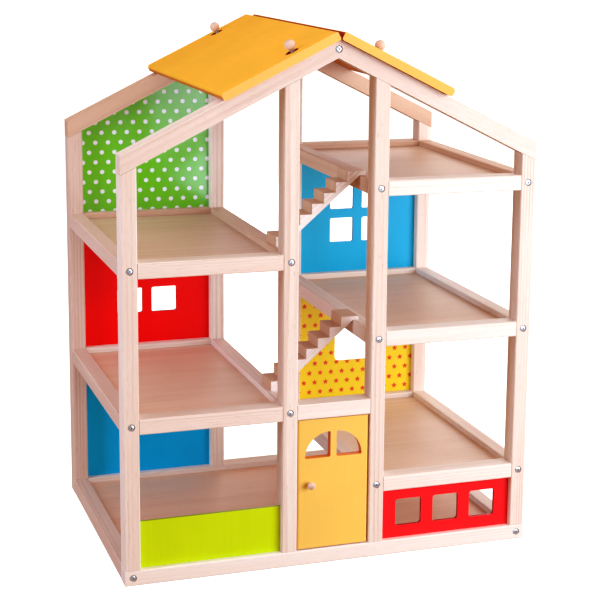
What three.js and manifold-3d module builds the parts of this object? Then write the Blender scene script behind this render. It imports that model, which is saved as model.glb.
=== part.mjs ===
// Split-level wooden dollhouse: an open pine frame with seven painted panels,
// two loose stair flights, a swinging front door and two lift-off roof boards.
// Millimetres, +Z up, front of the house towards -Y, origin under its middle.
import * as THREE from 'three';
import { mergeVertices } from 'three/addons/utils/BufferGeometryUtils.js';
import Module from 'manifold-3d';

const wasm = await Module();
wasm.setup();

// ---- driving dimensions ----------------------------------------------------
const WIDTH = 600;            // over the outer posts
const DEPTH = 420;            // front face to back face of the frame
const POST_W = 22;            // posts and rails, seen from the front
const POST_D = 28;            // posts and rails, front to back
const RAIL_H = 22;
const EDGE_R = 2;             // rounding of every long edge
const INNER_LEFT = 224;       // left face of the inner left posts
const INNER_RIGHT = 354;      // left face of the inner right posts
const BASE_TOP = 22;
const STOREY = 215;           // from one floor to the next in the same bay
const DINING = 119;           // tops of the rails, level by level
const LIVING = 237;
const BEDROOM = DINING + STOREY;
const BATHROOM = LIVING + STOREY;
const ATTIC = BEDROOM + STOREY;
const EAVE = 595.5;           // outer top edge of the gables
const APEX = 744.5;
const RAFTER_DROP = 25.5;     // height of a rafter, measured straight down
const RIDGE_H = 14;
const RIDGE_Z = 724;          // underside of the ridge beam
const SEAT_GAP = 0.3;         // left between a piece and the sloping cut over it
const SCREW_R = 5.2;          // flat-bottomed recesses for the screw heads
const SCREW_SINK = 3;

const FLOOR_T = 4;            // plywood floors, let into grooves in the rails
const FLOOR_DROP = 9;         // floor surface below the rail tops
const GROOVE = 5;             // how deep floors and panels sit in the frame
const SLIP = 0.2;             // play round a panel in its groove
const PANEL_T = 5;
const BACK_PANEL_Y = 405;     // front face of the back panels
const FRONT_PANEL_Y = 9.5;    // front face of the low front panels
const KITCHEN_FRONT_TOP = 89;

const PANE = 40;              // square panes of the four-pane windows
const PANE_BAR = 15;
const PANE_SILL = 49;         // lowest pane edge above the rail
const PANE_R = 3;
const DINING_WIN_W = 73;
const DINING_WIN_H = 71;
const DINING_WIN_SILL = 61;
const DINING_WIN_R = 8;
const STORAGE_WIN = 40;
const STORAGE_WIN_PITCH = 58.2;
const STORAGE_WIN_SILL = 17.5;
const STORAGE_WIN_R = 4;

const STEP_RISE = 14.7;
const STEP_RUN = 17.6;
const STEPS = 7;
const STAIR_WIDTH = 46;
const STAIR_FOOT_X = 230;     // first riser, on the left bay's inner rail
const STAIR_HEEL_X = 241;     // where the sloping underside leaves that rail
const STAIR_TOP_X = 362;      // end of the top tread, on the right bay's rail
const LOWER_STAIR_Y = 77;
const UPPER_STAIR_Y = 57;

const DOOR_LEFT = 247.2;
const DOOR_RIGHT = 352;
const DOOR_BOTTOM = 24;
const DOOR_TOP = 214;
const DOOR_Y = 2;             // outer face, a little behind the posts' faces
const DOOR_T = 12;
const DOOR_EDGE_R = 3;        // lets the hinge edge turn clear of the post
const FAN_R = 38;             // quarter-round windows
const FAN_BAR = 9;
const FAN_SILL = 157;
const FAN_CORNER = 1.5;
const PIVOT_X = 346;
const PIVOT_R = 2.5;
const PIVOT_PLAY = 0.1;
const PIVOT_END = 9;          // how far the rod runs into the rails
const KNOB_X = 265;
const KNOB_Z = 119.5;
const KNOB_R = 5.4;
const KNOB_STEM_R = 2.5;
const KNOB_OUT = 8.6;         // ball centre in front of the door
const KNOB_IN = 6;

const ROOF_T = 12;
const ROOF_LOW = 154;         // along the slope from the eave corner
const ROOF_HIGH = 334.5;
const ROOF_OVERHANG = 12;     // past the front and back of the frame
const ROOF_RIDGE_R = 2.5;     // rounding along the ridge
const ROOF_EAVE_R = 4.5;      // and along the eave
const ROOF_LIFT = 0.3;        // clearance of the loose boards over the rafters
const PEG_ALONG = 273;
const PEG_BALL_R = 7.5;
const PEG_STEM_R = 3;
const PEG_HEIGHT = { left: 21.5, right: 19.5 };   // ball centre over the rafter
const PEG_IN = 12;
const PEG_PLAY = 0.2;
const PEG_HOLE_R = 9.6;
const HOLE_SLIP = 1.2;        // the loose boards have slid this far down round their pegs

const ARC = 4;                // segments of a quarter-round edge
const ROUND = 32;             // segments of a turned piece
const RECESS_SIDES = 20;
const BALL_RINGS = 12;
const WELD = 1e-4;            // vertices closer than this are one

const SLOPE = (APEX - EAVE) / (WIDTH / 2);
const PITCH = Math.atan(SLOPE);
const BACK_Y = DEPTH - POST_D;
const OUTER_RIGHT = WIDTH - POST_W;
const LEFT_BAY = [POST_W, INNER_LEFT];
const MIDDLE_BAY = [INNER_LEFT + POST_W, INNER_RIGHT];
const RIGHT_BAY = [INNER_RIGHT + POST_W, OUTER_RIGHT];

// ---- materials ---------------------------------------------------------------
function wood(color, roughness = 0.6) {
  return new THREE.MeshStandardMaterial({ color, roughness, metalness: 0 });
}
const PINE = 0xecd2b8;
const FLOOR_PLY = 0xd9b08c;
const BEECH = 0xe3b892;
const ROOF_ORANGE = 0xffb636;
const DOOR_YELLOW = 0xffcb5a;
const RED = 0xe8141c;
const LIME = 0xc3dc10;
const GREEN = 0x66bf00;
const SKY = 0x12aee0;
const KITCHEN_BLUE = 0x0a78ae;
const SUN = 0xf3cf22;

// ---- shapes --------------------------------------------------------------------
// Rounded rectangle, anticlockwise, with its low corner at (x, y); its right-hand
// corners can have a radius of their own.
function roundedRect(x, y, w, h, r, rightR = r) {
  const s = new THREE.Shape();
  s.moveTo(x + r, y);
  s.lineTo(x + w - rightR, y);
  s.absarc(x + w - rightR, y + rightR, rightR, -Math.PI / 2, 0, false);
  s.lineTo(x + w, y + h - rightR);
  s.absarc(x + w - rightR, y + h - rightR, rightR, 0, Math.PI / 2, false);
  s.lineTo(x + r, y + h);
  s.absarc(x + r, y + h - r, r, Math.PI / 2, Math.PI, false);
  s.lineTo(x, y + r);
  s.absarc(x + r, y + r, r, Math.PI, Math.PI * 1.5, false);
  return s;
}

function polygon(points) {
  return new THREE.Shape(points.map(([x, y]) => new THREE.Vector2(x, y)));
}

// Extrudes a shape drawn in XY upwards from z.
function standing(shape, z, height) {
  const g = new THREE.ExtrudeGeometry(shape, { depth: height, bevelEnabled: false, curveSegments: ARC });
  g.translate(0, 0, z);
  return g;
}

// Extrudes a shape drawn as (x, z) backwards from y.
function facing(shape, y, depth) {
  const g = new THREE.ExtrudeGeometry(shape, { depth, bevelEnabled: false, curveSegments: ARC });
  g.rotateX(Math.PI / 2);
  g.translate(0, y + depth, 0);
  return g;
}

// Extrudes a shape drawn as (y, z) to the right from x.
function sideways(shape, x, length) {
  const g = new THREE.ExtrudeGeometry(shape, { depth: length, bevelEnabled: false, curveSegments: ARC });
  g.applyMatrix4(new THREE.Matrix4().makeBasis(
    new THREE.Vector3(0, 1, 0),
    new THREE.Vector3(0, 0, 1),
    new THREE.Vector3(1, 0, 0)));
  g.translate(x, 0, 0);
  return g;
}

// ---- joining and cutting --------------------------------------------------------
function toSolid(geometry) {
  const bare = geometry.clone();
  bare.deleteAttribute('normal');
  bare.deleteAttribute('uv');
  const merged = mergeVertices(bare, WELD);
  const vertProperties = new Float32Array(merged.attributes.position.array);
  const triVerts = new Uint32Array(merged.index.array);
  return new wasm.Manifold(new wasm.Mesh({ numProp: 3, vertProperties, triVerts }));
}

function toGeometry(solid) {
  const mesh = solid.getMesh();
  const g = new THREE.BufferGeometry();
  g.setAttribute('position', new THREE.BufferAttribute(new Float32Array(mesh.vertProperties), 3));
  g.setIndex(new THREE.BufferAttribute(new Uint32Array(mesh.triVerts), 1));
  g.computeVertexNormals();
  return g;
}

function carve(geometry, cutters) {
  let solid = toSolid(geometry);
  for (const cutter of cutters) solid = solid.subtract(toSolid(cutter));
  return toGeometry(solid);
}

// ---- outlines shared by a piece and the grooves that hold it ---------------------
// Height of the rafters' lower edge over a point of the front.
function rafterUnder(x) {
  const run = Math.min(x, WIDTH - x);
  return EAVE - RAFTER_DROP + SLOPE * run;
}

// Floor with its corners notched round the posts; grow is 0 for the floor itself.
function floorOutline([left, right], grow) {
  const e = GROOVE - SLIP + grow;
  const g = SLIP - grow;
  const y0 = POST_D;
  const y1 = BACK_Y;
  return polygon([
    [left + g, y0 - e], [right - g, y0 - e], [right - g, y0 + g], [right + e, y0 + g],
    [right + e, y1 - g], [right - g, y1 - g], [right - g, y1 + e], [left + g, y1 + e],
    [left + g, y1 - g], [left - e, y1 - g], [left - e, y0 + g], [left + g, y0 + g],
  ]);
}

// Rectangle of a panel let into its frame on the sides, the bottom and the top.
function panelRect([left, right], bottom, top, grow) {
  const e = GROOVE - SLIP + grow;
  return polygon([
    [left - e, bottom - e], [right + e, bottom - e],
    [right + e, top + e], [left - e, top + e],
  ]);
}

// Bathroom panel: its top follows the rafter.
function gablePanelOutline([left, right], bottom, grow) {
  const e = GROOVE - SLIP + grow;
  return polygon([
    [left - e, bottom - e], [right + e, bottom - e],
    [right + e, rafterUnder(right + e) + e], [left - e, rafterUnder(left - e) + e],
  ]);
}

const SLOT_GROW = 2 * SLIP;
function panelSlot(shape, y) {
  return facing(shape, y - SLIP, PANEL_T + SLOT_GROW);
}

const PANEL_TOPS = {
  kitchen: LIVING - RAIL_H,
  living: BATHROOM - RAIL_H,
  dining: BEDROOM - RAIL_H,
  bedroom: ATTIC - RAIL_H,
  storage: DINING - RAIL_H,
};

// Slots cut in the frame for the wall panels.
const BACK_SLOTS = [
  panelSlot(panelRect(LEFT_BAY, BASE_TOP, PANEL_TOPS.kitchen, SLOT_GROW), BACK_PANEL_Y),
  panelSlot(panelRect(LEFT_BAY, LIVING, PANEL_TOPS.living, SLOT_GROW), BACK_PANEL_Y),
  panelSlot(gablePanelOutline(LEFT_BAY, BATHROOM, SLOT_GROW), BACK_PANEL_Y),
  panelSlot(panelRect(RIGHT_BAY, DINING, PANEL_TOPS.dining, SLOT_GROW), BACK_PANEL_Y),
  panelSlot(panelRect(RIGHT_BAY, BEDROOM, PANEL_TOPS.bedroom, SLOT_GROW), BACK_PANEL_Y),
];
const FRONT_SLOTS = [
  panelSlot(panelRect(LEFT_BAY, BASE_TOP, KITCHEN_FRONT_TOP - GROOVE, SLOT_GROW), FRONT_PANEL_Y),
  panelSlot(panelRect(RIGHT_BAY, BASE_TOP, PANEL_TOPS.storage, SLOT_GROW), FRONT_PANEL_Y),
];

function floorSlot(shape, top) {
  return standing(shape, top - FLOOR_DROP - FLOOR_T - SLIP, FLOOR_T + SLOT_GROW);
}

function groundOutline(grow) {
  const e = GROOVE - SLIP + grow;
  return polygon([
    [POST_W - e, POST_D - e], [OUTER_RIGHT + e, POST_D - e],
    [OUTER_RIGHT + e, BACK_Y + e], [POST_W - e, BACK_Y + e],
  ]);
}

const LEVELS = [
  { name: 'living', bay: LEFT_BAY, top: LIVING },
  { name: 'bathroom', bay: LEFT_BAY, top: BATHROOM },
  { name: 'dining', bay: RIGHT_BAY, top: DINING },
  { name: 'bedroom', bay: RIGHT_BAY, top: BEDROOM },
  { name: 'attic', bay: RIGHT_BAY, top: ATTIC },
];

// A screw goes through the frame into each end of every front-to-back rail.
const SCREW_PLACES = [
  [POST_W / 2, BASE_TOP - RAIL_H / 2],
  [WIDTH - POST_W / 2, BASE_TOP - RAIL_H / 2],
  [WIDTH / 2, RIDGE_Z + RIDGE_H / 2],
];
for (const { bay, top } of LEVELS) {
  SCREW_PLACES.push([bay[0] - POST_W / 2, top - RAIL_H / 2], [bay[1] + POST_W / 2, top - RAIL_H / 2]);
}

function screwRecess(x, y, z) {
  const g = new THREE.CylinderGeometry(SCREW_R, SCREW_R, 2 * SCREW_SINK, RECESS_SIDES);
  g.translate(x, y, z);
  return g;
}

const FRONT_CUTS = [...FRONT_SLOTS, ...SCREW_PLACES.map(([x, z]) => screwRecess(x, 0, z))];
const BACK_CUTS = [...BACK_SLOTS, ...SCREW_PLACES.map(([x, z]) => screwRecess(x, DEPTH, z))];

// ---- frame ------------------------------------------------------------------------
function gableOutline() {
  const mid = WIDTH / 2;
  return polygon([
    [0, EAVE - RAFTER_DROP], [mid, APEX - RAFTER_DROP], [WIDTH, EAVE - RAFTER_DROP],
    [WIDTH, EAVE], [mid, APEX], [0, EAVE],
  ]);
}

// Everything above the sloping seat on the post tops.
function aboveRafters() {
  const mid = WIDTH / 2;
  const low = EAVE - RAFTER_DROP - SEAT_GAP;
  const over = 2 * POST_W;
  return polygon([
    [-over, low - SLOPE * over], [mid, low + SLOPE * mid], [WIDTH + over, low - SLOPE * over],
    [WIDTH + over, 2 * APEX], [-over, 2 * APEX],
  ]);
}

function post(x, y, cuts) {
  const blank = standing(roundedRect(x, y, POST_W, POST_D, EDGE_R), BASE_TOP, APEX - BASE_TOP);
  const top = facing(aboveRafters(), y - POST_D, 3 * POST_D);
  return carve(blank, [top, ...cuts]);
}

// Rail across the front or back, from x0 to x1, with its top at z.
function crossRail([x0, x1], y, top, cuts) {
  const profile = roundedRect(y, top - RAIL_H, POST_D, RAIL_H, EDGE_R);
  return carve(sideways(profile, x0, x1 - x0), cuts);
}

// Rail running front to back between two posts.
function sideRail(x, top, cuts) {
  const profile = roundedRect(x, top - RAIL_H, POST_W, RAIL_H, EDGE_R);
  return carve(facing(profile, POST_D, BACK_Y - POST_D), cuts);
}

// Seats for the ball pegs, square to the slope.
function pegTransform(side, y) {
  const m = new THREE.Matrix4();
  const eaveX = side < 0 ? 0 : WIDTH;
  const x = eaveX - side * PEG_ALONG * Math.cos(PITCH);
  const z = EAVE + PEG_ALONG * Math.sin(PITCH);
  m.makeRotationY(side * PITCH);
  m.setPosition(x, y, z);
  return m;
}

function pegBore(side, y) {
  const length = PEG_IN + PEG_PLAY + POST_W;
  const g = new THREE.CylinderGeometry(PEG_STEM_R + PEG_PLAY, PEG_STEM_R + PEG_PLAY, length, ROUND);
  g.rotateX(Math.PI / 2);
  g.translate(0, 0, length / 2 - PEG_IN - PEG_PLAY);
  g.applyMatrix4(pegTransform(side, y));
  return g;
}

// Two rafters, mitred and glued at the top.
function gable(y, cuts) {
  const pegY = y + POST_D / 2;
  return carve(facing(gableOutline(), y, POST_D), [pegBore(-1, pegY), pegBore(1, pegY), ...cuts]);
}

function ridgeBeam() {
  const profile = roundedRect((WIDTH - POST_W) / 2, RIDGE_Z, POST_W, RIDGE_H, EDGE_R);
  return facing(profile, POST_D, BACK_Y - POST_D);
}

// ---- floors and panels ---------------------------------------------------------------
function levelFloor(bay, top) {
  return standing(floorOutline(bay, 0), top - FLOOR_DROP - FLOOR_T, FLOOR_T);
}

function groundFloor() {
  return standing(groundOutline(0), BASE_TOP - FLOOR_DROP - FLOOR_T, FLOOR_T);
}

function fourPaneHoles([left, right], rail) {
  const middle = (left + right) / 2;
  const holes = [];
  for (const column of [-1, 1]) {
    for (const row of [0, 1]) {
      const x = middle + column * PANE_BAR / 2 + (column < 0 ? -PANE : 0);
      const z = rail + PANE_SILL + row * (PANE + PANE_BAR);
      holes.push(roundedRect(x, z, PANE, PANE, PANE_R));
    }
  }
  return holes;
}

function wallPanel(outline, holes, y) {
  outline.holes = holes;
  return facing(outline, y, PANEL_T);
}

function diningHole([left, right]) {
  const x = (left + right - DINING_WIN_W) / 2;
  return roundedRect(x, DINING + DINING_WIN_SILL, DINING_WIN_W, DINING_WIN_H, DINING_WIN_R);
}

function storageHoles([left, right]) {
  const middle = (left + right) / 2;
  return [-1, 0, 1].map((i) => roundedRect(
    middle + i * STORAGE_WIN_PITCH - STORAGE_WIN / 2, BASE_TOP + STORAGE_WIN_SILL,
    STORAGE_WIN, STORAGE_WIN, STORAGE_WIN_R));
}

// ---- stairs -------------------------------------------------------------------------
// Solid saw-tooth flight from one level's inner rail up to the next one's.
function stairFlight(level, y) {
  const points = [[STAIR_FOOT_X, level]];
  for (let i = 1; i <= STEPS; i += 1) {
    const z = level + i * STEP_RISE;
    points.push([STAIR_FOOT_X + (i - 1) * STEP_RUN, z]);
    points.push([i === STEPS ? STAIR_TOP_X : STAIR_FOOT_X + i * STEP_RUN, z]);
  }
  const upper = level + BEDROOM - LIVING;
  points.push([STAIR_TOP_X, upper], [INNER_RIGHT - SEAT_GAP, upper], [STAIR_HEEL_X, level]);
  return facing(polygon(points), y, STAIR_WIDTH);
}

// ---- door ---------------------------------------------------------------------------
// Quarter disc with its square corner at (x, z), opening to one side.
function fanWindow(x, z, side) {
  const s = new THREE.Shape();
  const c = FAN_CORNER;
  const turn = Math.asin(c / FAN_R);
  if (side < 0) {
    s.moveTo(x, z + c);
    s.lineTo(x, z + FAN_R - c);
    s.absarc(x, z, FAN_R, Math.PI / 2 + turn, Math.PI - turn, false);
    s.lineTo(x - FAN_R + c, z);
    s.lineTo(x - c, z);
  } else {
    s.moveTo(x + c, z);
    s.lineTo(x + FAN_R - c, z);
    s.absarc(x, z, FAN_R, turn, Math.PI / 2 - turn, false);
    s.lineTo(x, z + FAN_R - c);
    s.lineTo(x, z + c);
  }
  return s;
}

function rod(x, y, z, r, length) {
  const g = new THREE.CylinderGeometry(r, r, length, ROUND);
  g.rotateX(Math.PI / 2);
  g.translate(x, y, z + length / 2);
  return g;
}

const PIVOT_Y = DOOR_Y + DOOR_T / 2;
const LINTEL = LIVING - RAIL_H;

function pivotBore() {
  return rod(PIVOT_X, PIVOT_Y, BASE_TOP - PIVOT_END - SLIP, PIVOT_R + PIVOT_PLAY,
    LINTEL - BASE_TOP + 2 * (PIVOT_END + SLIP));
}

function pivotRod() {
  return rod(PIVOT_X, PIVOT_Y, BASE_TOP - PIVOT_END, PIVOT_R, LINTEL - BASE_TOP + 2 * PIVOT_END);
}

function knobBore() {
  const g = new THREE.CylinderGeometry(KNOB_STEM_R + PEG_PLAY, KNOB_STEM_R + PEG_PLAY, 2 * KNOB_IN, ROUND);
  g.translate(KNOB_X, DOOR_Y + SLIP, KNOB_Z);
  return g;
}

function doorLeaf() {
  const plan = roundedRect(DOOR_LEFT, DOOR_Y, DOOR_RIGHT - DOOR_LEFT, DOOR_T, DOOR_EDGE_R);
  const leaf = standing(plan, DOOR_BOTTOM, DOOR_TOP - DOOR_BOTTOM);
  const middle = WIDTH / 2;
  const through = 3 * DOOR_T;
  const left = facing(fanWindow(middle - FAN_BAR / 2, FAN_SILL, -1), DOOR_Y - DOOR_T, through);
  const right = facing(fanWindow(middle + FAN_BAR / 2, FAN_SILL, 1), DOOR_Y - DOOR_T, through);
  return carve(leaf, [left, right, pivotBore(), knobBore()]);
}

// Turned ball on a stem; the stem starts at depth below zero, the ball's centre is at height.
function ballPeg(ballR, stemR, depth, height) {
  const points = [new THREE.Vector2(0, -depth), new THREE.Vector2(stemR, -depth)];
  const join = Math.asin(stemR / ballR);
  for (let i = 0; i <= BALL_RINGS; i += 1) {
    const a = join + (Math.PI - join) * (i / BALL_RINGS);
    const r = i === BALL_RINGS ? 0 : ballR * Math.sin(a);
    points.push(new THREE.Vector2(r, height - ballR * Math.cos(a)));
  }
  const g = new THREE.LatheGeometry(points, ROUND);
  g.rotateX(Math.PI / 2);
  return toGeometry(toSolid(g));
}

// ---- roof ----------------------------------------------------------------------------
// Drawn lying flat: x along the slope from the eave corner, z square to the slope.
function roofBoard() {
  const length = ROOF_HIGH - ROOF_LOW;
  const profile = roundedRect(ROOF_LOW, ROOF_LIFT, length, ROOF_T, ROOF_EAVE_R, ROOF_RIDGE_R);
  const board = facing(profile, -ROOF_OVERHANG, DEPTH + 2 * ROOF_OVERHANG);
  const holes = [POST_D / 2, DEPTH - POST_D / 2].map(
    (y) => rod(PEG_ALONG - HOLE_SLIP, y, -ROOF_T, PEG_HOLE_R, 3 * ROOF_T));
  return carve(board, holes);
}

// ---- assembly --------------------------------------------------------------------------
const house = new THREE.Group();
house.position.set(-WIDTH / 2, -DEPTH / 2, 0);

function add(name, geometry, material) {
  const mesh = new THREE.Mesh(geometry, material);
  mesh.name = name;
  house.add(mesh);
  return mesh;
}

const POST_PLACES = [
  ['outer_left', 0], ['inner_left', INNER_LEFT],
  ['inner_right', INNER_RIGHT], ['outer_right', OUTER_RIGHT],
];
for (const [place, x] of POST_PLACES) {
  add(`front_post_${place}`, post(x, 0, FRONT_CUTS), wood(PINE));
  add(`back_post_${place}`, post(x, BACK_Y, BACK_CUTS), wood(PINE));
}

add('front_gable', gable(0, FRONT_CUTS), wood(PINE));
add('back_gable', gable(BACK_Y, BACK_CUTS), wood(PINE));
add('ridge_beam', ridgeBeam(), wood(PINE));

const groundSlot = floorSlot(groundOutline(SLOT_GROW), BASE_TOP);
add('base_front_rail', crossRail([0, WIDTH], 0, BASE_TOP, [groundSlot, ...FRONT_CUTS, pivotBore()]),
  wood(PINE));
add('base_back_rail', crossRail([0, WIDTH], BACK_Y, BASE_TOP, [groundSlot, ...BACK_CUTS]), wood(PINE));
add('base_left_rail', sideRail(0, BASE_TOP, [groundSlot]), wood(PINE));
add('base_right_rail', sideRail(OUTER_RIGHT, BASE_TOP, [groundSlot]), wood(PINE));
add('ground_floor', groundFloor(), wood(FLOOR_PLY));

for (const { name, bay, top } of LEVELS) {
  const slot = floorSlot(floorOutline(bay, SLOT_GROW), top);
  add(`${name}_front_rail`, crossRail(bay, 0, top, [slot, ...FRONT_CUTS]), wood(PINE));
  add(`${name}_back_rail`, crossRail(bay, BACK_Y, top, [slot, ...BACK_CUTS]), wood(PINE));
  add(`${name}_left_rail`, sideRail(bay[0] - POST_W, top, [slot]), wood(PINE));
  add(`${name}_right_rail`, sideRail(bay[1], top, [slot]), wood(PINE));
  add(`${name}_floor`, levelFloor(bay, top), wood(FLOOR_PLY));
}
add('door_lintel_rail', crossRail(MIDDLE_BAY, 0, LIVING, [pivotBore()]), wood(PINE));

add('kitchen_back_panel',
  wallPanel(panelRect(LEFT_BAY, BASE_TOP, PANEL_TOPS.kitchen, 0), [], BACK_PANEL_Y),
  wood(KITCHEN_BLUE, 0.5));
add('living_back_panel',
  wallPanel(panelRect(LEFT_BAY, LIVING, PANEL_TOPS.living, 0), fourPaneHoles(LEFT_BAY, LIVING),
    BACK_PANEL_Y),
  wood(RED, 0.5));
add('bathroom_back_panel',
  wallPanel(gablePanelOutline(LEFT_BAY, BATHROOM, 0), [], BACK_PANEL_Y), wood(GREEN, 0.5));
add('dining_back_panel',
  wallPanel(panelRect(RIGHT_BAY, DINING, PANEL_TOPS.dining, 0), [diningHole(RIGHT_BAY)], BACK_PANEL_Y),
  wood(SUN, 0.5));
add('bedroom_back_panel',
  wallPanel(panelRect(RIGHT_BAY, BEDROOM, PANEL_TOPS.bedroom, 0), fourPaneHoles(RIGHT_BAY, BEDROOM),
    BACK_PANEL_Y), wood(SKY, 0.5));
add('kitchen_front_panel',
  wallPanel(panelRect(LEFT_BAY, BASE_TOP, KITCHEN_FRONT_TOP - GROOVE, 0), [], FRONT_PANEL_Y),
  wood(LIME, 0.5));
add('storage_front_panel',
  wallPanel(panelRect(RIGHT_BAY, BASE_TOP, PANEL_TOPS.storage, 0), storageHoles(RIGHT_BAY), FRONT_PANEL_Y),
  wood(RED, 0.5));

add('lower_stairs', stairFlight(LIVING, LOWER_STAIR_Y), wood(BEECH));
add('upper_stairs', stairFlight(BATHROOM, UPPER_STAIR_Y), wood(BEECH));

add('front_door', doorLeaf(), wood(DOOR_YELLOW, 0.45));
add('door_pivot_rod', pivotRod(), wood(BEECH));
const knob = add('door_knob', ballPeg(KNOB_R, KNOB_STEM_R, KNOB_IN, KNOB_OUT), wood(BEECH, 0.5));
knob.position.set(KNOB_X, DOOR_Y, KNOB_Z);
knob.rotation.x = Math.PI / 2;

const roofRight = add('roof_board_right', roofBoard(), wood(ROOF_ORANGE, 0.45));
roofRight.position.set(WIDTH, DEPTH, EAVE);
roofRight.rotation.set(0, PITCH, Math.PI, 'YXZ');
const roofLeft = add('roof_board_left', roofBoard(), wood(ROOF_ORANGE, 0.45));
roofLeft.position.set(0, 0, EAVE);
roofLeft.rotation.y = -PITCH;

for (const [end, y] of [['front', POST_D / 2], ['back', DEPTH - POST_D / 2]]) {
  for (const [side, sign] of [['left', -1], ['right', 1]]) {
    const turned = ballPeg(PEG_BALL_R, PEG_STEM_R, PEG_IN, PEG_HEIGHT[side]);
    const peg = add(`roof_peg_${end}_${side}`, turned, wood(BEECH, 0.5));
    peg.applyMatrix4(pegTransform(sign, y));
  }
}

export default house;
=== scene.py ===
"""Looks for the wooden dollhouse: timber, paint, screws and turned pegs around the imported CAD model."""

import math
import random

import bmesh
import bpy
from mathutils import Matrix, Vector


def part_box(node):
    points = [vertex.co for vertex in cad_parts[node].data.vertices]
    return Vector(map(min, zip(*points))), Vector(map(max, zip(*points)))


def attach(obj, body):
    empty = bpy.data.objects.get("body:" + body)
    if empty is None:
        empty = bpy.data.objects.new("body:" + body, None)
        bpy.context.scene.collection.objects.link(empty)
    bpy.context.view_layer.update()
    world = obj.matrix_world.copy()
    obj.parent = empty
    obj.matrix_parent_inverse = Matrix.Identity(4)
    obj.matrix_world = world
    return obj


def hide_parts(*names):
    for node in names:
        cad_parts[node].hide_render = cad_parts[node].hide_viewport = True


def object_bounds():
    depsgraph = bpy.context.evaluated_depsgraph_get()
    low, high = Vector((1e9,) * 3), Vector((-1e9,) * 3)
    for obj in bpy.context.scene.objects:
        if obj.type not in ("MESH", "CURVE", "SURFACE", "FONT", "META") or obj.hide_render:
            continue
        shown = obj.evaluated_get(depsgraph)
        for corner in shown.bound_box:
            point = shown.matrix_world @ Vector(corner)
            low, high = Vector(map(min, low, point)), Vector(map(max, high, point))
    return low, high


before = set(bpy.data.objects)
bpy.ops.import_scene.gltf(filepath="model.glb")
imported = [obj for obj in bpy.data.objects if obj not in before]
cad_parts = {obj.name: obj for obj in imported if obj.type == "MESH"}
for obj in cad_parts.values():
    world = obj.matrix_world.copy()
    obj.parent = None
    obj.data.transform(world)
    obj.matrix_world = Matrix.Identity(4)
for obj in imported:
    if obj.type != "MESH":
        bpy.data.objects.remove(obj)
cad_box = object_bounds()

MM = 0.001
LEVELS = ("living", "bathroom", "dining", "bedroom", "attic")
ENDS = ("front", "back")
SIDES = (("left", -1), ("right", 1))

RAFTER_RISE, RAFTER_RUN = 149, 300
PITCH = math.atan(RAFTER_RISE / RAFTER_RUN)
STEP_RISE, STEP_RUN = 14.7, 17.6
STAIR_SLOPE = math.atan(STEP_RISE / STEP_RUN)
SCREW_SINK = 3 * MM      # depth of the recesses in the frame


def middle(node):
    """Middle of a node's box at rest."""
    low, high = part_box(node)
    return tuple((low + high) / 2)


# ---- camera, light and floor --------------------------------------------------------
LENS, SENSOR, LENS_SHIFT = 96.446, 36, -0.1
NEAREST, FARTHEST = 0.05, 60
CAMERA_PLACE = (-0.715503, -2.262110, 0.890682)
YAW, TILT, ROLL = 0.35027, -0.19132, 0.01555      # from a level view along +Y

HOUSE_MIDDLE = (0, 0, 0.38)
COOL = (0.78, 0.93, 1.0)
LIGHTS = {      # place, target, size, watts and colour
    "key": ((1.25, -1.9, 0.6), HOUSE_MIDDLE, (1.7, 1.7), 52, (0.78, 0.965, 1.11)),
    "left": ((-1.5, -0.25, 0.75), (-0.3, -0.2, 0.35), (0.3, 1.5), 14, (0.61, 0.86, 1.14)),
    "right": ((3.0, 0.0, 0.9), HOUSE_MIDDLE, (1.6, 1.6), 36, COOL),
    "top": ((-0.1, -0.2, 1.75), HOUSE_MIDDLE, (1.3, 1.3), 7, COOL),
    "back": ((1.6, 2.6, 1.2), HOUSE_MIDDLE, (1.8, 1.8), 26, COOL),
}

FLOOR_RADIUS = 9
FLOOR_SEGMENTS = 96
FLOOR_GAP = 0.2 * MM     # the house's underside stays clear of the floor


def make_camera():
    data = bpy.data.cameras.new("camera")
    data.sensor_width = SENSOR
    data.lens = LENS
    data.shift_x = LENS_SHIFT
    data.shift_y = LENS_SHIFT
    data.clip_start = NEAREST
    data.clip_end = FARTHEST
    camera = bpy.data.objects.new("camera", data)
    bpy.context.scene.collection.objects.link(camera)
    bpy.context.scene.camera = camera
    level = math.cos(TILT)
    forward = Vector((math.sin(YAW) * level, math.cos(YAW) * level, math.sin(TILT)))
    right = Vector((math.cos(YAW), -math.sin(YAW), 0))
    up = right.cross(forward)
    rolled_right = right * math.cos(ROLL) + up * math.sin(ROLL)
    rolled_up = up * math.cos(ROLL) - right * math.sin(ROLL)
    turn = Matrix((rolled_right, rolled_up, -forward)).transposed().to_4x4()
    camera.matrix_world = Matrix.Translation(CAMERA_PLACE) @ turn


def make_lights():
    for name, (place, target, size, watts, color) in LIGHTS.items():
        data = bpy.data.lights.new(name, "AREA")
        data.shape = "RECTANGLE"
        data.size, data.size_y = size
        data.energy = watts
        data.color = color
        light = bpy.data.objects.new(name, data)
        bpy.context.scene.collection.objects.link(light)
        light.location = place
        aim = Vector(target) - Vector(place)
        light.rotation_euler = aim.to_track_quat("-Z", "Y").to_euler()


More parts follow.
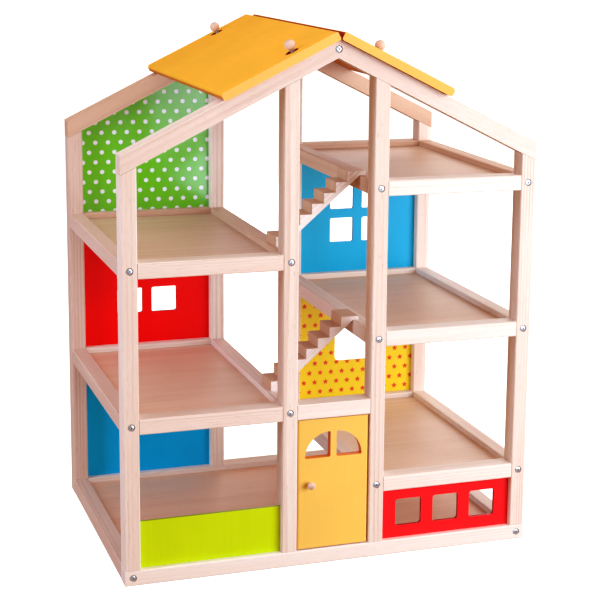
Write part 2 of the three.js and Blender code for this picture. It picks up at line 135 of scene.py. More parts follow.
def make_world(glow, backdrop):
    """A white studio: glow is the warm light that fills the shadows, backdrop how bright it looks."""
    world = bpy.data.worlds.new("studio")
    world.use_nodes = True
    bpy.context.scene.world = world
    nodes, links = world.node_tree.nodes, world.node_tree.links
    nodes.clear()
    lit = nodes.new("ShaderNodeBackground")
    lit.inputs["Color"].default_value = (*glow, 1)
    seen = nodes.new("ShaderNodeBackground")
    seen.inputs["Color"].default_value = (1, 1, 1, 1)
    seen.inputs["Strength"].default_value = backdrop
    path = nodes.new("ShaderNodeLightPath")
    mix = nodes.new("ShaderNodeMixShader")
    out = nodes.new("ShaderNodeOutputWorld")
    links.new(path.outputs["Is Camera Ray"], mix.inputs["Fac"])
    links.new(lit.outputs[0], mix.inputs[1])
    links.new(seen.outputs[0], mix.inputs[2])
    links.new(mix.outputs[0], out.inputs["Surface"])


def make_floor():
    """White paper that glows softly and throws no light back onto the house."""
    mesh = bpy.data.meshes.new("floor")
    bm = bmesh.new()
    bmesh.ops.create_circle(bm, cap_ends=True, segments=FLOOR_SEGMENTS, radius=FLOOR_RADIUS)
    bm.to_mesh(mesh)
    bm.free()
    floor = bpy.data.objects.new("floor", mesh)
    floor.location.z = cad_box[0].z - FLOOR_GAP
    bpy.context.scene.collection.objects.link(floor)
    paper = bpy.data.materials.new("studio_paper")
    paper.use_nodes = True
    shader = paper.node_tree.nodes["Principled BSDF"]
    shader.inputs["Base Color"].default_value = (0.86, 0.86, 0.86, 1)
    shader.inputs["Roughness"].default_value = 0.9
    shader.inputs["Emission Color"].default_value = (0.80, 0.96, 1, 1)
    shader.inputs["Emission Strength"].default_value = 0.82
    mesh.materials.append(paper)
    floor.visible_diffuse = False
    floor.visible_glossy = False


# ---- colours ------------------------------------------------------------------------
def srgb(r, g, b):
    """Linear colour of an 8-bit sRGB one."""
    def linear(v):
        v /= 255
        return v / 12.92 if v <= 0.04045 else ((v + 0.055) / 1.055) ** 2.4
    return (linear(r), linear(g), linear(b), 1.0)


def shade(color, factor):
    """The colour made lighter or darker."""
    return tuple(min(1.0, c * factor) for c in color[:3]) + (1.0,)


def mixed(a, b, share):
    """Colour a with that share of b."""
    return tuple(p + (q - p) * share for p, q in zip(a[:3], b[:3])) + (1.0,)


# ---- node trees ---------------------------------------------------------------------
FOLD_SHIFT = 0.19        # metres between the parts of the pattern on a folded piece's two sides
SCATTER = 5              # metres at most from the noise's origin to a piece's part of it


class Surface:
    """One material's node tree, with short calls for the nodes that the surfaces share."""

    def __init__(self, name):
        self.material = bpy.data.materials.new(name)
        self.material.use_nodes = True
        tree = self.material.node_tree
        self.nodes, self.links = tree.nodes, tree.links
        self.shader = self.nodes["Principled BSDF"]

    def add(self, kind, **settings):
        node = self.nodes.new(kind)
        for key, value in settings.items():
            setattr(node, key, value)
        return node

    def put(self, socket, value):
        if isinstance(value, bpy.types.NodeSocket):
            self.links.new(value, socket)
        else:
            socket.default_value = value

    def point(self):
        """The point on the surface, in the object's own frame."""
        return self.add("ShaderNodeTexCoord").outputs["Object"]

    def normal(self):
        """The way the surface faces, in the object's own frame."""
        return self.add("ShaderNodeTexCoord").outputs["Normal"]

    def math(self, operation, a, b=0.0):
        node = self.add("ShaderNodeMath", operation=operation)
        self.put(node.inputs[0], a)
        self.put(node.inputs[1], b)
        return node.outputs[0]

    def hypot(self, a, b):
        squares = self.math("ADD", self.math("MULTIPLY", a, a), self.math("MULTIPLY", b, b))
        return self.math("SQRT", squares)

    def swing(self, value, size):
        """A value from 0 to 1 as a swing of size about zero."""
        return self.math("MULTIPLY", self.math("SUBTRACT", value, 0.5), size)

    def ramp(self, value, low, high, to_low=0.0, to_high=1.0):
        """Smooth step of value from low to high."""
        node = self.add("ShaderNodeMapRange", interpolation_type="SMOOTHSTEP")
        for socket, v in zip(node.inputs, (value, low, high, to_low, to_high)):
            self.put(socket, v)
        return node.outputs[0]

    def vector_math(self, operation, a, b):
        node = self.add("ShaderNodeVectorMath", operation=operation)
        self.put(node.inputs[0], a)
        self.put(node.inputs[1], b)
        return node.outputs["Value" if operation == "DOT_PRODUCT" else "Vector"]

    def rotated(self, vector, turn):
        node = self.add("ShaderNodeVectorRotate", rotation_type="EULER_XYZ")
        self.put(node.inputs["Vector"], vector)
        node.inputs["Rotation"].default_value = turn
        return node.outputs[0]

    def split(self, vector):
        node = self.add("ShaderNodeSeparateXYZ")
        self.put(node.inputs[0], vector)
        return node.outputs

    def joined(self, x, y, z):
        node = self.add("ShaderNodeCombineXYZ")
        for socket, value in zip(node.inputs, (x, y, z)):
            self.put(socket, value)
        return node.outputs[0]

    def noise(self, vector, cycles, detail=2.0, rough=0.5):
        """Noise with that many cycles to a metre along each axis."""
        node = self.add("ShaderNodeTexNoise")
        node.inputs["Scale"].default_value = 1.0
        node.inputs["Detail"].default_value = detail
        node.inputs["Roughness"].default_value = rough
        self.put(node.inputs["Vector"], self.vector_math("MULTIPLY", vector, cycles))
        return node.outputs["Fac"]

    def mix(self, factor, a, b, blend="MIX"):
        """Mix of two colours, whose sockets come after the node's number and vector ones."""
        node = self.add("ShaderNodeMix", data_type="RGBA", blend_type=blend)
        self.put(node.inputs[0], factor)
        self.put(node.inputs[6], a)
        self.put(node.inputs[7], b)
        return node.outputs[2]

    def tint(self, color, by):
        return self.mix(1.0, color, by, "MULTIPLY")

    def folded_point(self):
        """The point folded over at x = 0, with another part of the pattern on the right-hand side."""
        x, y, z = self.split(self.point())
        on_right = self.math("GREATER_THAN", x, 0.0)
        moved = self.math("ADD", y, self.math("MULTIPLY", on_right, FOLD_SHIFT))
        return self.joined(self.math("ABSOLUTE", x), moved, z)

    def folded_normal(self):
        """The normal folded over in the same way, by the side of x = 0 that the point is on."""
        x, y, z = self.split(self.normal())
        side = self.math("SIGN", self.split(self.point())[0])
        return self.joined(self.math("MULTIPLY", x, side), y, z)

    def placed(self, centre, turn, fold=False):
        """Coordinates about centre in metres, turned so that X runs along the grain."""
        point = self.folded_point() if fold else self.point()
        return self.rotated(self.vector_math("SUBTRACT", point, centre), turn)

    def scattered(self, vector, draw):
        """The same coordinates, moved to a part of the noise that no other piece has."""
        return self.vector_math("ADD", vector, [draw.uniform(-SCATTER, SCATTER) for _ in range(3)])

    def sideways(self):
        """0 on the faces that face the front or back and 1 on the others."""
        return self.ramp(self.math("ABSOLUTE", self.split(self.normal())[1]), 0.2, 0.6, 1.0, 0.0)

    def edge(self, radius):
        """1 along the piece's edges and 0 on its faces."""
        rounded = self.add("ShaderNodeBevel", samples=4)
        rounded.inputs["Radius"].default_value = radius
        flat = self.add("ShaderNodeNewGeometry").outputs["Normal"]
        agree = self.vector_math("DOT_PRODUCT", rounded.outputs[0], flat)
        return self.ramp(self.math("SUBTRACT", 1.0, agree), 0.02, 0.35)

    def bump(self, height, depth, strength):
        node = self.add("ShaderNodeBump")
        node.inputs["Strength"].default_value = strength
        node.inputs["Distance"].default_value = depth
        self.put(node.inputs["Height"], height)
        self.put(self.shader.inputs["Normal"], node.outputs[0])

    def finish(self, color, rough, gloss):
        """Sets the shader's colour, roughness and specular level."""
        self.put(self.shader.inputs["Base Color"], color)
        self.put(self.shader.inputs["Roughness"], rough)
        self.shader.inputs["Specular IOR Level"].default_value = gloss


# ---- bare wood ----------------------------------------------------------------------
ALONG_X = (0, 0, 0)
ALONG_Y = (0, 0, -math.pi / 2)
ALONG_Z = (0, math.pi / 2, 0)

# noise cycles to a metre along the grain and across it
RING_WANDER = (1.6, 16, 16)
RING_WAVER = (7, 90, 90)
RING_FADE = (3.5, 45, 45)
TONE_PATCH = (2.4, 30, 30)
FIBRE = (34, 1500, 1500)
FLECK = (70, 1100, 1100)


def slope_turn(angle):
    """Turn for a grain that climbs at angle towards +X."""
    return (0, angle, 0)


class Timber:
    """Tones and grain sizes of one kind of bare wood.

    early and late are the 8-bit tones of a year's ring, and blush that of the rosy patches. ring is a
    ring's width, contrast how strongly its late wood shows, pith how near and how far the tree's middle
    may lie in millimetres, and across a darkening tint, painted shade, for the faces that do not face the
    front or back.
    """

    def __init__(self, early, late, blush, ring, contrast, pith=(30, 75), rough=0.58, across=None):
        self.early, self.late, self.blush = srgb(*early), srgb(*late), srgb(*blush)
        self.ring, self.contrast, self.pith, self.rough = ring, contrast, pith, rough
        self.across = across


def plywood(early, late, blush, contrast):
    """Peeled veneer, with the wide, faint rings of a cut far from the pith."""
    return Timber(early, late, blush, 9 * MM, contrast, pith=(160, 300), rough=0.5)


PINE = Timber((246, 232, 220), (216, 172, 148), (241, 217, 202), 4.2 * MM, 0.6)
# paler copy of the pine: painted light on the front rails
LIT_PALE_PINE = Timber((252, 243, 235), (234, 206, 188), (247, 228, 215), 4.2 * MM, 0.5)
# darker, rosier copy of the pine: painted shade on the pieces along the left side
SHADED_ROSY_PINE = Timber((228, 199, 182), (192, 142, 118), (216, 178, 160), 3.8 * MM, 0.7)
# darker, warmer copy of the pine: painted shade on the pieces at the back and round the attic and
# bathroom
SHADED_WARM_PINE = Timber((226, 188, 160), (188, 138, 108), (212, 166, 136), 4.2 * MM, 0.5)
STREAKY_PINE = Timber((245, 229, 217), (208, 162, 138), (238, 212, 198), 7 * MM, 0.45)
# across tints the stairs' risers, treads and undersides darker: painted shade
STAIR_WOOD = Timber((250, 240, 236), (220, 188, 174), (242, 224, 214), 3.4 * MM, 0.7,
                    across=(0.74, 0.50, 0.33, 1))
BEECH = Timber((236, 206, 188), (196, 148, 124), (224, 184, 164), 1.6 * MM, 0.4)
PLY = plywood((240, 205, 176), (212, 160, 128), (230, 186, 154), 0.35)
# darker, redder copy of the ply: painted shade on the ground floor
SHADED_RED_PLY = plywood((244, 196, 160), (214, 146, 112), (232, 174, 138), 0.35)
# paler copy of the ply: painted light on the dining floor
LIT_PALE_PLY = plywood((246, 220, 198), (224, 184, 154), (238, 206, 180), 0.4)
# darker copy of the ply: painted shade on the bathroom and attic floors
SHADED_TAN_PLY = plywood((226, 190, 162), (196, 148, 120), (214, 172, 144), 0.4)


def wood_rings(s, timber, grain, local, draw):
    """0 in early wood to 1 in late wood, in rings round a pith beside the piece that fade in and out."""
    angle = draw.uniform(0, 2 * math.pi)
    reach = draw.uniform(*timber.pith) * MM
    _, y, z = s.split(grain)
    y = s.math("SUBTRACT", y, reach * math.cos(angle))
    z = s.math("SUBTRACT", z, reach * math.sin(angle))
    radius = s.math("ADD", s.hypot(y, z), s.swing(s.noise(local, RING_WANDER, 1.0), 9 * MM))
    radius = s.math("ADD", radius, s.swing(s.noise(local, RING_WAVER), 1.3 * MM))
    phase = s.math("FRACT", s.math("DIVIDE", radius, timber.ring))
    late = s.math("MULTIPLY", s.ramp(phase, 0.3, 0.88), s.ramp(phase, 0.9, 1.0, 1.0, 0.0))
    fade = s.ramp(s.noise(local, RING_FADE, 1.0), 0.35, 0.7, 0.12, 1.0)
    return s.math("MULTIPLY", late, fade)


def bare_wood(name, timber, centre, turn, fold=False):
    """Year rings distorted along the grain, with blushes, fibres, resin flecks and darker end grain."""
    draw = random.Random(name)
    s = Surface(name)
    grain = s.placed(centre, turn, fold)
    local = s.scattered(grain, draw)
    late = wood_rings(s, timber, grain, local, draw)
    tone = s.noise(local, TONE_PATCH, 3.0)
    fibre = s.noise(local, FIBRE, 2.0, 0.6)
    fleck = s.ramp(s.noise(local, FLECK, 1.0), 0.66, 0.74)
    color = s.mix(s.math("MULTIPLY", late, timber.contrast), timber.early, timber.late)
    color = s.mix(s.ramp(tone, 0.35, 0.75, 0.0, 0.7), color, timber.blush)
    color = s.mix(s.ramp(fibre, 0.3, 0.7, 0.0, 0.16), color, shade(timber.late, 0.8))
    color = s.mix(s.math("MULTIPLY", fleck, 0.3), color, shade(timber.late, 0.55))
    # painted shade: the faces that do not face the front or back take the darker across tint
    if timber.across:
        color = s.mix(s.sideways(), color, s.tint(color, timber.across))
    normal = s.folded_normal() if fold else s.normal()
    along = s.math("ABSOLUTE", s.split(s.rotated(normal, turn))[0])
    color = s.mix(s.ramp(along, 0.75, 0.95, 0.0, 0.35), color, shade(timber.late, 0.72))
    worn = s.math("MULTIPLY", s.edge(1.2 * MM), s.ramp(tone, 0.3, 0.7, 0.1, 0.4))
    color = s.mix(worn, color, shade(timber.early, 1.08))
    s.finish(color, s.math("ADD", timber.rough, s.swing(fibre, 0.25)), 0.35)
    relief = s.math("ADD", s.math("MULTIPLY", late, 0.5), s.math("MULTIPLY", fibre, 0.8))
    s.bump(relief, 0.06 * MM, 0.8)
    return s.material


# ---- painted wood -------------------------------------------------------------------
CLOUD = (9, 9, 9)
BRUSH = (10, 420, 420)
PEEL = (650, 650, 650)
RUB = (60, 60, 60)
CREAM = (1, 0.93, 0.82)


def paint(name, color, centre, turn=ALONG_Z, rough=0.4, gloss=0.3, pattern=None, side=None, below=None):
    """Satin paint over wood: slight tone changes, brushed grain showing through and paler worn edges.

    side is the colour of the faces that do not face the front or back, and below that of the faces that
    look down: copies of the paint toned by how the light falls on those faces, painted light and shade.
    """
    draw = random.Random(name)
    s = Surface(name)
    local = s.scattered(s.placed(centre, turn), draw)
    cloud = s.noise(local, CLOUD)
    streak = s.noise(local, BRUSH, 3.0, 0.6)
    peel = s.noise(local, PEEL)
    tone = color
    # painted light and shade: the sides and the faces that look down take their own copies of the paint
    if side:
        tone = s.mix(s.sideways(), tone, side)
    if below:
        looks_down = s.ramp(s.split(s.normal())[2], -0.5, -0.2, 1.0, 0.0)
        tone = s.mix(looks_down, tone, below)
    # print on the panels; on the roof boards, dark red painted shade on the cut faces
    if pattern:
        tone = s.mix(pattern(s), tone, pattern.ink_and_shade)
    tone = s.mix(s.ramp(cloud, 0.3, 0.7), tone, s.tint(tone, (0.93, 0.94, 0.95, 1)))
    tone = s.mix(s.ramp(streak, 0.35, 0.75, 0.0, 0.3), tone, s.tint(tone, (0.9, 0.9, 0.92, 1)))
    wear = s.ramp(s.noise(local, RUB, 3.0), 0.4, 0.62, 0.25, 0.9)
    rubbed = s.math("MULTIPLY", s.math("MULTIPLY", s.edge(1.0 * MM), wear), 0.5)
    tone = s.mix(rubbed, tone, mixed(shade(color, 1.12), CREAM, 0.25))
    s.finish(tone, s.math("ADD", rough, s.swing(cloud, 0.18)), gloss)
    relief = s.math("ADD", s.math("MULTIPLY", streak, 0.8), s.math("MULTIPLY", peel, 0.35))
    s.bump(relief, 0.05 * MM, 0.6)
    return s.material


class Printed:
    """A staggered print on the panel's room side: pitch across and row up, from a mark at start."""

    cells_aside = 20     # added to each cell's number, so that none is negative

    def __init__(self, ink_and_shade, pitch, row, start):
        self.ink_and_shade, self.pitch, self.row, self.start = ink_and_shade, pitch, row, start

    def __call__(self, s):
        x, _, z = s.split(s.point())
        both = s.math("MAXIMUM", self.marks(s, x, z, 0), self.marks(s, x, z, 1))
        return s.math("MULTIPLY", both, s.math("LESS_THAN", s.split(s.normal())[1], -0.5))

    def marks(self, s, x, z, odd):
        across = self.from_mark(s, x, self.start[0] + odd * self.pitch / 2, self.pitch)
        up = self.from_mark(s, z, self.start[1] + odd * self.row, 2 * self.row)
        return self.shape(s, across, up)

    def from_mark(self, s, value, start, size):
        """Distance along one axis from the nearest mark."""
        steps = s.math("DIVIDE", s.math("SUBTRACT", value, start), size)
        return s.swing(s.math("FRACT", s.math("ADD", steps, self.cells_aside + 0.5)), size)


class Dots(Printed):
    radius = 3.4 * MM
    blur = 0.15 * MM

    def shape(self, s, across, up):
        return s.ramp(s.hypot(across, up), self.radius - self.blur, self.radius + self.blur, 1.0, 0.0)


class Stars(Printed):
    """Five-pointed stars, folded ten times into one straight edge from a tip to a notch."""

    tip, notch = 5.2 * MM, 2.6 * MM      # radii of a star's points and of its inner corners
    blur = 0.12 * MM

    def shape(self, s, across, up):
        far = s.hypot(across, up)
        fold = math.radians(36)
        angle = s.math("PINGPONG", s.math("ABSOLUTE", s.math("ARCTAN2", across, up)), fold)
        x = s.math("MULTIPLY", far, s.math("COSINE", angle))
        y = s.math("MULTIPLY", far, s.math("SINE", angle))
        dx, dy = self.notch * math.cos(fold) - self.tip, self.notch * math.sin(fold)
        length = math.hypot(dx, dy)
        from_tip = s.math("MULTIPLY", s.math("SUBTRACT", x, self.tip), dy / length)
        outside = s.math("ADD", from_tip, s.math("MULTIPLY", y, -dx / length))
        return s.ramp(outside, -self.blur, self.blur, 1.0, 0.0)


class BoardCutShade:
    """Painted shade on a roof board's cut faces: the walls of its two holes, and its edge along the
    ridge, which is bare wood darkened by painted shade.
    """

    # dark red painted shade
    ink_and_shade = srgb(176, 48, 20)
    eave, end = 0.14, 0.22      # distances from x = 0 and y = 0 beyond which the edges are painted

    def __init__(self, sign):
        self.upward = (sign * math.sin(PITCH), 0, math.cos(PITCH))

    def __call__(self, s):
        across = s.vector_math("DOT_PRODUCT", s.normal(), self.upward)
        cut = s.ramp(s.math("ABSOLUTE", across), 0.35, 0.75, 1.0, 0.0)
        x, y, _ = s.split(s.point())
        clear_of_eave = s.math("LESS_THAN", s.math("ABSOLUTE", x), self.eave)
        clear_of_end = s.math("LESS_THAN", s.math("ABSOLUTE", y), self.end)
        return s.math("MULTIPLY", cut, s.math("MULTIPLY", clear_of_eave, clear_of_end))


# ---- metal --------------------------------------------------------------------------
PLATING = (900, 900, 900)
SCRATCH = (3000, 400, 3000)


def zinc():
    s = Surface("zinc_plate")
    tone = s.noise(s.point(), PLATING, 3.0)
    scratch = s.noise(s.point(), SCRATCH)
    color = s.mix(s.ramp(tone, 0.3, 0.7), srgb(214, 220, 230), srgb(170, 178, 192))
    color = s.mix(s.ramp(scratch, 0.55, 0.75, 0.0, 0.5), color, srgb(236, 240, 246))
    s.finish(color, s.ramp(tone, 0.2, 0.8, 0.3, 0.45), 0.5)
    s.shader.inputs["Metallic"].default_value = 0.8
    s.bump(scratch, 0.01 * MM, 0.6)
    return s.material


# ---- meshes -------------------------------------------------------------------------
def lathe(profile, steps):
    """Closed turned body round Z from (radius, height) points that start and end on the axis."""
    bm = bmesh.new()
    rings = []
    turns = [2 * math.pi * i / steps for i in range(steps)]
    for radius, height in profile:
        around = turns if radius > 0 else [0]
        rings.append([bm.verts.new((radius * math.cos(a), radius * math.sin(a), height)) for a in around])
    for low, high in zip(rings, rings[1:]):
        for i in range(steps):
            j = (i + 1) % steps
            corners = [low[i % len(low)], low[j % len(low)], high[j % len(high)], high[i % len(high)]]
            bm.faces.new(list(dict.fromkeys(corners)))
    bmesh.ops.recalc_face_normals(bm, faces=bm.faces)
    return bm


def to_mesh(bm, name, smooth=True):
    mesh = bpy.data.meshes.new(name)
    bm.to_mesh(mesh)
    bm.free()
    if smooth:
        mesh.polygons.foreach_set("use_smooth", [True] * len(mesh.polygons))
    return mesh


def arc(centre, radius, start, end, steps):
    """Points (radius, height) on an arc round centre, from start to end in degrees."""
    points = []
    for i in range(steps + 1):
        a = math.radians(start + (end - start) * i / steps)
        points.append((centre[0] + radius * math.cos(a), centre[1] + radius * math.sin(a)))
    return points


def link(name, mesh, material=None):
    obj = bpy.data.objects.new(name, mesh)
    bpy.context.scene.collection.objects.link(obj)
    if material:
        mesh.materials.append(material)
    return obj


def aimed(place, direction, spin=0.0):
    """Matrix that stands a body made round Z at place, with Z towards direction."""
    turn = Vector(direction).to_track_quat("Z", "Y").to_matrix().to_4x4()
    return Matrix.Translation(place) @ turn @ Matrix.Rotation(spin, 4, "Z")


# ---- screws -------------------------------------------------------------------------
HEAD_R = 4.2 * MM
HEAD_H = 2.3 * MM
DOME_R = 16 * MM
RIM_R = 0.7 * MM
RIM_DROP = 1.1 * MM                  # from the head's top to the middle of the rim's arc
FOOT_EASE = 0.3 * MM
SHANK_R = 1.9 * MM
SCREW_LENGTH = 46 * MM
POINT_LENGTH = 5 * MM

# half length, half width and height of the driver recess's two ends
RECESS_TOP = (2.5 * MM, 0.9 * MM, HEAD_H + 0.5 * MM)
RECESS_LOW = (1.1 * MM, 0.5 * MM, HEAD_H - 2 * MM)


def screw_body():
    """Pan head on a plain shank with a point, head's underside at height 0."""
    shank = [(0, -SCREW_LENGTH), (SHANK_R, POINT_LENGTH - SCREW_LENGTH), (SHANK_R, 0)]
    foot = [(HEAD_R - FOOT_EASE, 0), (HEAD_R, FOOT_EASE)]
    rim = arc((HEAD_R - RIM_R, HEAD_H - RIM_DROP), RIM_R, 0, 70, 5)
    dome = arc((0, HEAD_H - DOME_R), DOME_R, 77, 90, 6)[:-1] + [(0, HEAD_H)]
    return lathe(shank + foot + rim + dome, 40)


def rectangle(bm, half_length, half_width, height):
    corners = ((-1, -1), (1, -1), (1, 1), (-1, 1))
    return [bm.verts.new((x * half_length, y * half_width, height)) for x, y in corners]


def cross_cutter():
    """Two tapered blades crossed, for the driver recess."""
    bm = bmesh.new()
    for turn in (0, math.pi / 2):
        top = rectangle(bm, *RECESS_TOP)
        low = rectangle(bm, *RECESS_LOW)
        bm.faces.new(top)
        bm.faces.new(reversed(low))
        for i in range(4):
            j = (i + 1) % 4
            bm.faces.new((top[j], top[i], low[i], low[j]))
        bmesh.ops.rotate(bm, verts=top + low, matrix=Matrix.Rotation(turn, 3, "Z"))
    bmesh.ops.recalc_face_normals(bm, faces=bm.faces)
    return bm


def screw_mesh():
    body = link("screw_blank", to_mesh(screw_body(), "screw_blank"))
    cutter = link("driver", to_mesh(cross_cutter(), "driver", smooth=False))
    cut = body.modifiers.new("recess", "BOOLEAN")
    cut.operation = "DIFFERENCE"
    cut.solver = "EXACT"
    cut.use_self = True
    cut.object = cutter
    bpy.context.view_layer.update()
    graph = bpy.context.evaluated_depsgraph_get()
    mesh = bpy.data.meshes.new_from_object(body.evaluated_get(graph))
    mesh.name = "screw"
    for obj in (body, cutter):
        bpy.data.objects.remove(obj)
    mesh.materials.clear()
    mesh.materials.append(zinc())
    mesh.set_sharp_from_angle(angle=math.radians(35))
    return mesh


def screw_places():
    """Label, x and z of every screw, from the ends of the front-to-back rails and the ridge beam."""
    nodes = [f"{level}_{side}_rail" for level in ("base",) + LEVELS for side, _ in SIDES]
    places = []
    for node in nodes + ["ridge_beam"]:
        x, _, z = middle(node)
        places.append((node.replace("_rail", ""), x, z))
    return places


def make_screws():
    mesh = screw_mesh()
    draw = random.Random("screws")
    faces = {"front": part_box("base_front_rail")[0].y, "back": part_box("base_back_rail")[1].y}
    for end, out in (("front", -1), ("back", 1)):
        for label, x, z in screw_places():
            screw = link(f"screw_{end}_{label}", mesh)
            seat = faces[end] - out * SCREW_SINK
            screw.matrix_world = aimed((x, seat, z), (0, out, 0), draw.uniform(0, math.pi / 2))
            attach(screw, "house")


# ---- turned pegs and knob -----------------------------------------------------------
PEG_STEM_R = 3 * MM
KNOB_STEM_R = 2.5 * MM
NECK_FILLET = 0.9 * MM
NECK_ANGLE = 9                       # degrees that the ball stops short of its stem
STEM_EASE = 0.4 * MM
CROWN_ANGLE = 82                     # degrees up the ball to the turning mark on its top


def turned_ball(name, node, body, centre, ball_r, stem_r, axis, reach):
    """Ball with a small turning mark on top, on a stem that runs reach back from the ball's centre."""
    join = math.degrees(math.acos(stem_r / ball_r)) - NECK_ANGLE
    neck = ball_r * math.sin(math.radians(join))
    foot = [(0, -reach), (stem_r - STEM_EASE, -reach)]
    stem = [(stem_r, STEM_EASE - reach), (stem_r, -neck - NECK_FILLET)]
    ball = arc((0, 0), ball_r, -join, CROWN_ANGLE, 26)
    crown = [(0.9 * MM, ball_r - 0.12 * MM), (0, ball_r - 0.3 * MM)]
    mesh = to_mesh(lathe(foot + stem + ball + crown, 48), name)
    piece = link(name, mesh, bare_wood(f"{name}_wood", BEECH, (0, 0, 0), ALONG_Z))
    piece.matrix_world = aimed(centre, axis)
    mesh.set_sharp_from_angle(angle=math.radians(50))
    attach(piece, body)
    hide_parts(node)


def make_pegs():
    for end in ENDS:
        for side, sign in SIDES:
            node = f"roof_peg_{end}_{side}"
            low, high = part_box(node)
            r = (high.y - low.y) / 2
            x = low.x + r if sign < 0 else high.x - r
            centre = Vector((x, (low.y + high.y) / 2, high.z - r))
            axis = (sign * math.sin(PITCH), 0, math.cos(PITCH))
            reach = (centre.z - low.z - PEG_STEM_R * math.sin(PITCH)) / math.cos(PITCH)
            turned_ball(f"peg_{end}_{side}", node, "house", centre, r, PEG_STEM_R, axis, reach)


def make_knob():
    low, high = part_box("door_knob")
    r = (high.x - low.x) / 2
    centre = ((low.x + high.x) / 2, low.y + r, (low.z + high.z) / 2)
    turned_ball("knob", "door_knob", "door", centre, r, KNOB_STEM_R, (0, -1, 0), high.y - centre[1])


# ---- materials for the CAD nodes ----------------------------------------------------
def soften(obj, width):
    """Eases the sharp edges that the CAD leaves, and keeps the flat faces flat in the shading."""
    mesh = obj.data
    mesh.polygons.foreach_set("use_smooth", [True] * len(mesh.polygons))
    weld = obj.modifiers.new("weld", "WELD")
    weld.merge_threshold = 0.002 * MM
    flat = obj.modifiers.new("planar", "DECIMATE")
    flat.decimate_type = "DISSOLVE"
    flat.angle_limit = math.radians(0.5)
    bevel = obj.modifiers.new("bevel", "BEVEL")
    bevel.width = width
    bevel.segments = 2
    bevel.limit_method = "ANGLE"
    bevel.angle_limit = math.radians(50)
    bevel.use_clamp_overlap = True
    normals = obj.modifiers.new("normals", "WEIGHTED_NORMAL")
    normals.weight = 100
    normals.keep_sharp = True


def dress(node, material, bevel=0.45 * MM):
    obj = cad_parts[node]
    materials = obj.data.materials
    if not materials:
        materials.append(material)
    for i in range(len(materials)):
        materials[i] = material
    soften(obj, bevel)


# Lit and shaded copies of the pine: the pale one is painted light, the rosy and warm ones painted shade.
LIT_AND_SHADED_TIMBER = {
    "base_front_rail": LIT_PALE_PINE,
    "dining_front_rail": LIT_PALE_PINE,
    "bedroom_front_rail": LIT_PALE_PINE,
    "attic_front_rail": LIT_PALE_PINE,
    "door_lintel_rail": LIT_PALE_PINE,
    "back_post_outer_left": SHADED_ROSY_PINE,
    "base_left_rail": SHADED_ROSY_PINE,
    "bathroom_left_rail": SHADED_ROSY_PINE,
    "living_left_rail": SHADED_ROSY_PINE,
    "attic_back_rail": SHADED_WARM_PINE,
    "attic_left_rail": SHADED_WARM_PINE,
    "attic_right_rail": SHADED_WARM_PINE,
    "bathroom_back_rail": SHADED_WARM_PINE,
    "bathroom_right_rail": SHADED_WARM_PINE,
}
# the back gable's warm copy of the pine is painted shade
GABLE_TIMBER = {"front": STREAKY_PINE, "back": SHADED_WARM_PINE}
# the ply's darker copies are painted shade on the ground, bathroom and attic floors, its paler copy
# painted light on the dining floor
FLOOR_PLY = {"ground": SHADED_RED_PLY, "dining": LIT_PALE_PLY, "bathroom": SHADED_TAN_PLY, "attic": SHADED_TAN_PLY}


def dress_frame():
    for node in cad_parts:
        if "_post_" in node:
            turn = ALONG_Z
        elif node.endswith(("_left_rail", "_right_rail")) or node == "ridge_beam":
            turn = ALONG_Y
        elif node.endswith("_rail"):
            turn = ALONG_X
        else:
            continue
        dress(node, bare_wood(f"{node}_wood", LIT_AND_SHADED_TIMBER.get(node, PINE), middle(node), turn))


def dress_gables():
    for end, timber in GABLE_TIMBER.items():
        node = f"{end}_gable"
        low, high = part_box(node)
        _, y, z = middle(node)
        rafter_middle = ((high.x - low.x) / 4, y, z)
        dress(node, bare_wood(f"{node}_wood", timber, rafter_middle, slope_turn(-PITCH), fold=True))


def dress_floors():
    for level in ("ground",) + LEVELS:
        node = f"{level}_floor"
        wood = bare_wood(f"{node}_ply", FLOOR_PLY.get(level, PLY), middle(node), ALONG_X)
        dress(node, wood, 0.3 * MM)


def dress_stairs():
    for node in ("lower_stairs", "upper_stairs"):
        wood = bare_wood(f"{node}_wood", STAIR_WOOD, middle(node), slope_turn(STAIR_SLOPE))
        dress(node, wood, 0.7 * MM)


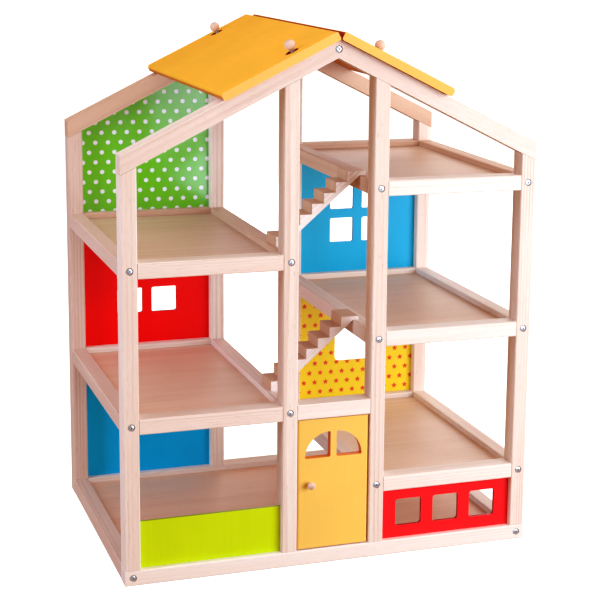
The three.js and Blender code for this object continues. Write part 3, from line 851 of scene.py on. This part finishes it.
# each side colour is a darker copy of the face, painted shade on the panel's edges
PAINTS = {      # face, side and gloss
    "kitchen_back_panel": (srgb(0, 178, 246), srgb(0, 100, 150), 0.12),
    "living_back_panel": (srgb(255, 0, 0), srgb(190, 0, 2), 0.12),
    "bedroom_back_panel": (srgb(4, 174, 222), srgb(0, 120, 180), 0.22),
    "kitchen_front_panel": (srgb(208, 230, 4), srgb(150, 176, 0), 0.12),
    "storage_front_panel": (srgb(252, 28, 34), srgb(200, 6, 12), 0.12),
}
DOTS = Dots(srgb(246, 246, 250), 19.76 * MM, 15.36 * MM, (-295.225 * MM, 6.727 * MM))
STARS = Stars(srgb(226, 66, 14), 18.96 * MM, 16.39 * MM, (-302.2 * MM, -1.9 * MM))


def dress_panels():
    for node, (color, side, gloss) in PAINTS.items():
        dress(node, paint(f"{node}_paint", color, middle(node), gloss=gloss, side=side))
    node = "bathroom_back_panel"
    green = srgb(104, 200, 4)
    dress(node, paint(f"{node}_paint", green, middle(node), rough=0.17, gloss=0.85, pattern=DOTS))
    node = "dining_back_panel"
    yellow = srgb(248, 212, 22)
    dress(node, paint(f"{node}_paint", yellow, middle(node), pattern=STARS))


def dress_door():
    node = "front_door"
    # orange is painted shade on the door's edges and on the reveals of its windows
    yellow, orange = srgb(255, 207, 98), srgb(255, 142, 34)
    dress(node, paint(f"{node}_paint", yellow, middle(node), gloss=0.2, side=orange), 0.6 * MM)
    node = "door_pivot_rod"
    dress(node, bare_wood(f"{node}_wood", BEECH, middle(node), ALONG_Z), 0.3 * MM)


def dress_roof():
    # top is the paler orange on the boards' front and back ends, painted light; edge is the boards' own
    # orange on their other faces; underside is painted shade on the faces that look down
    top, edge, underside = srgb(255, 202, 104), srgb(255, 188, 58), srgb(206, 112, 34)
    for side, sign in SIDES:
        node = f"roof_board_{side}"
        coat = paint(f"{node}_paint", top, middle(node), ALONG_Y, rough=0.6, gloss=0.08,
                     pattern=BoardCutShade(sign), side=edge, below=underside)
        dress(node, coat, 0.9 * MM)


# ---- build --------------------------------------------------------------------------
bpy.context.scene.view_settings.view_transform = "Standard"
bpy.context.scene.view_settings.look = "Medium High Contrast"
make_camera()
make_world(glow=(0.36, 0.175, 0.09), backdrop=1.2)
make_floor()
make_lights()

dress_frame()
dress_gables()
dress_floors()
dress_stairs()
dress_panels()
dress_door()
dress_roof()
make_screws()
make_pegs()
make_knob()
